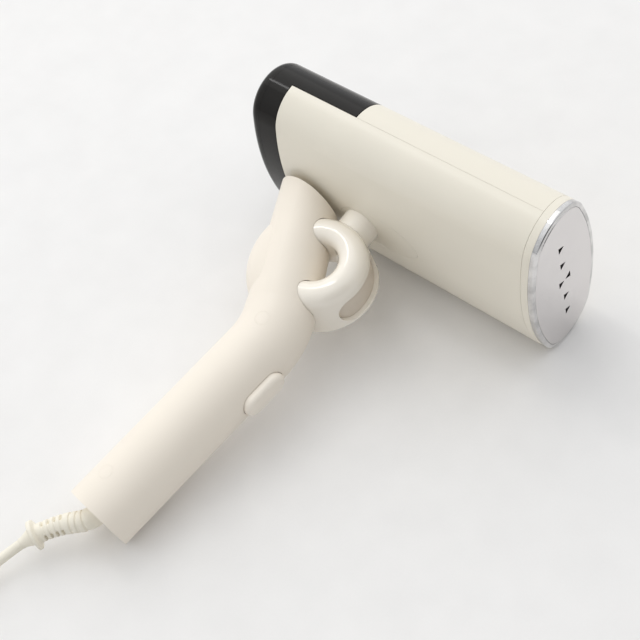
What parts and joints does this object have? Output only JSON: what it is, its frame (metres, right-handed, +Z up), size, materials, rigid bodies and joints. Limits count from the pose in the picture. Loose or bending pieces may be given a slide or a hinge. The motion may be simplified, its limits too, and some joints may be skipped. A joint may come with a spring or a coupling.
{
  "type": "handheld steamer",
  "caption": "Handheld garment steamer with an oval head, polished steam plate, rear water tank, and a round handle that folds about a ring hinge.",
  "frame": {"origin": "bottom centre of the object's box, without the free cord, on the surface that it lies on", "axes": "+X out of the steam plate along the head; +Y away from the handle's lower end, towards the head; +Z up from the surface. The steamer lies on its side."},
  "size_m": [0.2513, 0.3676, 0.1032],
  "materials": {
    "head_ivory": "satin ivory, slightly warm",
    "ring_ivory": "glossy cream",
    "handle_ivory": "matte, slightly pinker cream",
    "button_ivory": "matte cream",
    "inlay_grey": "matte pinkish grey",
    "tank_smoke": "glossy dark smoke, see-through",
    "polished_plate": "smooth, polished",
    "chrome_rim": "mirror",
    "cast_aluminium": "as cast",
    "steel": "plain",
    "grey_rubber": "soft",
    "clear_silicone": "satin",
    "dark_plastic": "plain",
    "inner_white": "plain",
    "board_green": "satin",
    "wire_brown": "satin",
    "wire_blue": "satin",
    "cord_ivory": "satin ivory",
    "tie_ivory": "soft strap"
  },
  "bodies": {
    "head": {"steam_plate": "polished_plate", "plate_rim": "chrome_rim", "front_bezel": "head_ivory", "lower_shell": "head_ivory", "upper_cover": "head_ivory", "post_base_plate": "head_ivory", "hinge_post": "ring_ivory", "hinge_ring": "ring_ivory", "ring_inlay": "inlay_grey", "boiler_body": "cast_aluminium", "boiler_gasket": "grey_rubber", "heating_element": "steel", "thermostat": "dark_plastic", "thermal_fuse": "dark_plastic", "heat_shield": "polished_plate", "shield_standoffs": "cast_aluminium", "water_pump": "dark_plastic", "outlet_tube": "clear_silicone", "inlet_tube": "clear_silicone", "tank_dock": "inner_white", "dock_spigot": "inner_white", "dock_seal": "grey_rubber", "heater_wire_live": "wire_brown", "heater_wire_neutral": "wire_blue"},
    "tank": {"water_tank": "tank_smoke", "tank_end_cap": "tank_smoke", "tank_valve": "dark_plastic", "pickup_tube": "clear_silicone", "flap_pin": "steel", "flap_ears": "tank_smoke"},
    "filler_flap": {"filler_plug": "grey_rubber"},
    "handle": {"handle_shell_near": "handle_ivory", "handle_shell_far": "handle_ivory", "handle_screws": "steel", "screw_plug_upper": "handle_ivory", "screw_plug_lower": "handle_ivory", "handle_end_cap": "handle_ivory", "cord_clamp": "inner_white", "button_spring": "steel", "trigger_switch": "dark_plastic", "control_board": "board_green", "board_relay": "dark_plastic", "handle_wire_live": "wire_brown", "handle_wire_neutral": "wire_blue", "friction_shoe": "grey_rubber", "shoe_spring": "steel", "strain_relief": "cord_ivory", "cord_inner_end": "cord_ivory", "cord_run": "cord_ivory", "cord_coil": "cord_ivory", "cord_tie": "tie_ivory", "cord_tail": "cord_ivory", "mains_plug": "cord_ivory", "plug_blade_a": "steel", "plug_blade_b": "steel"},
    "button": {"steam_button": "button_ivory"}
  },
  "joints": [
    {"name": "handle_fold", "type": "hinge", "parent": "head", "child": "handle", "pos_m": [-0.01855, 0.03725, 0.04252], "axis": [0, -0.1596, 0.9872], "range_deg": [0, 90]},
    {"name": "tank_slide", "type": "slide", "parent": "head", "child": "tank", "axis": [-1, 0, 0], "range_m": [0, 0.055]},
    {"name": "filler_flap_hinge", "type": "hinge", "parent": "tank", "child": "filler_flap", "pos_m": [-0.03465, 0.11928, 0.05578], "axis": [0, 0.1596, -0.9872], "range_deg": [0, 110]},
    {"name": "steam_button_press", "type": "slide", "parent": "handle", "child": "button", "axis": [-0.9962, 0.0865, 0.014], "range_m": [0, 0.002], "stiffness_N_per_m": 400, "springref_m": -0.002, "deforming": ["button_spring"]}
  ]
}
